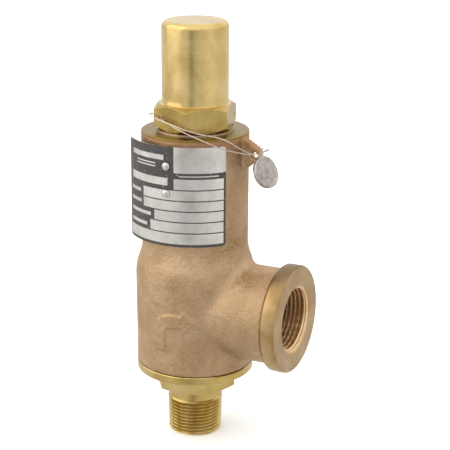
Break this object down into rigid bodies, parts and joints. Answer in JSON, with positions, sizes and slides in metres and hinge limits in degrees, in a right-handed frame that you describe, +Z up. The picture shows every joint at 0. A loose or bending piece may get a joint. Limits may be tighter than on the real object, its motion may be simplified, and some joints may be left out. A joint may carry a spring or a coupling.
{
  "type": "pressure relief valve",
  "caption": "Angle relief valve: cast bronze body, threaded brass inlet nozzle below, threaded side outlet, round cap with hexagon, wired lead seal and curved rating plate.",
  "frame": {"origin": "centre of the inlet end face, on the valve axis", "axes": "+Z up the valve axis towards the cap, +X along the outlet axis, -Y the side with the rating plate"},
  "size_m": [0.0833, 0.0591, 0.2072],
  "materials": {
    "cast_bronze": "sand cast, tumbled",
    "turned_brass": "turned and milled",
    "stainless_steel": "ground",
    "spring_steel": "zinc plated",
    "soft_seat": "moulded",
    "gasket_sheet": "annealed sheet",
    "plate_aluminium": "printed sheet",
    "seal_wire": "twisted",
    "seal_lead": "pressed, dull"
  },
  "bodies": {
    "valve": {"valve_body": "cast_bronze", "inlet_nozzle": "turned_brass", "nozzle_seal_ring": "soft_seat", "disc_guide": "turned_brass", "guide_snap_ring": "spring_steel", "spring": "spring_steel", "nameplate": "plate_aluminium", "nameplate_screws": "stainless_steel", "seal_wire": "seal_wire"},
    "disc": {"disc_holder": "turned_brass", "seat_insert": "soft_seat", "insert_washer": "stainless_steel", "insert_screw": "stainless_steel", "stem": "stainless_steel", "stem_pin": "stainless_steel", "lower_spring_step": "turned_brass"},
    "upper_step": {"upper_spring_step": "turned_brass"},
    "setting_screw": {"adjusting_screw": "turned_brass"},
    "lock_nut": {"jam_nut": "turned_brass"},
    "gasket": {"cap_gasket": "gasket_sheet"},
    "cap": {"cap": "turned_brass"},
    "seal": {"lead_seal": "seal_lead"}
  },
  "joints": [
    {"name": "disc_lift", "type": "slide", "parent": "valve", "child": "disc", "axis": [0, 0, 1], "range_m": [0, 0.0035], "stiffness_N_per_m": 12000, "springref_m": -0.003, "deforming": ["spring"]},
    {"name": "set_pressure_travel", "type": "slide", "parent": "valve", "child": "upper_step", "axis": [0, 0, 1], "range_m": [0, 0.003], "deforming": ["spring"]},
    {"name": "setting_screw_turn", "type": "hinge", "parent": "upper_step", "child": "setting_screw", "pos_m": [0, 0, 0.17], "axis": [0, 0, 1], "range_deg": [0, 720]},
    {"name": "lock_nut_turn", "type": "hinge", "parent": "valve", "child": "lock_nut", "pos_m": [0, 0, 0.169], "axis": [0, 0, 1], "range_deg": [0, 90]},
    {"name": "cap_lift", "type": "slide", "parent": "valve", "child": "gasket", "axis": [0, 0, 1], "range_m": [0, 0.009], "deforming": ["seal_wire"]},
    {"name": "cap_unscrew", "type": "hinge", "parent": "gasket", "child": "cap", "pos_m": [0, 0, 0.18], "axis": [0, 0, 1], "range_deg": [0, 2160], "deforming": ["seal_wire"]},
    {"name": "seal_swing", "type": "hinge", "parent": "valve", "child": "seal", "pos_m": [0.03641, -0.004, 0.14605], "axis": [-0.2419, -0.9703, 0], "range_deg": [-18, 20], "deforming": ["seal_wire"]}
  ],
  "couplings": [
    {"joint": "setting_screw_turn", "follows": "set_pressure_travel", "rad_per_m": 4188.7},
    {"joint": "cap_unscrew", "follows": "cap_lift", "rad_per_m": 4188.7}
  ]
}
